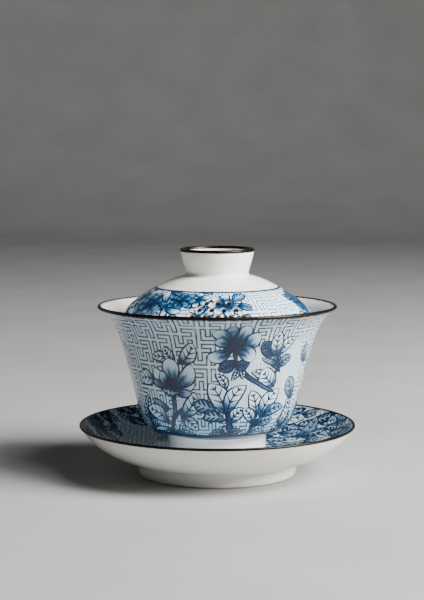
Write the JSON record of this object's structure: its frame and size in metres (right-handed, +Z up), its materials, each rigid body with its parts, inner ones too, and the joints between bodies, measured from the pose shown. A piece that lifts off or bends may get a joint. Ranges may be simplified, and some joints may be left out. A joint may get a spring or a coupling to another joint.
{
  "type": "gaiwan",
  "caption": "Lidded porcelain tea bowl on a saucer, with a flared bowl, a domed lid with a ring knob and straining holes, metal-banded lips and underglaze blue decoration.",
  "frame": {"origin": "centre of the saucer's foot on the table", "axes": "+Z up along the common axis of saucer, bowl and lid; the straining holes of the lid face -Y"},
  "size_m": [0.1166, 0.1166, 0.0954],
  "materials": {
    "saucer_glaze": "clear gloss glaze over blue painting",
    "bowl_glaze": "clear gloss glaze over blue painting",
    "lid_glaze": "clear gloss glaze over blue painting",
    "white_glaze": "clear gloss glaze over white porcelain",
    "rim_metal": "dark bronze metal, satin"
  },
  "bodies": {
    "saucer": {"saucer": "saucer_glaze", "saucer_foot_ring": "white_glaze", "saucer_rim_band": "rim_metal"},
    "bowl": {"bowl": "bowl_glaze", "bowl_foot_ring": "white_glaze", "bowl_rim_band": "rim_metal"},
    "lid": {"lid": "lid_glaze", "lid_knob": "white_glaze", "lid_knob_rim_band": "rim_metal"}
  },
  "joints": [
    {"name": "bowl_lift", "type": "slide", "parent": "saucer", "child": "bowl", "axis": [0, 0, 1], "range_m": [0, 0.06]},
    {"name": "lid_lift", "type": "slide", "parent": "bowl", "child": "lid", "axis": [0, 0, 1], "range_m": [0, 0.07]}
  ]
}
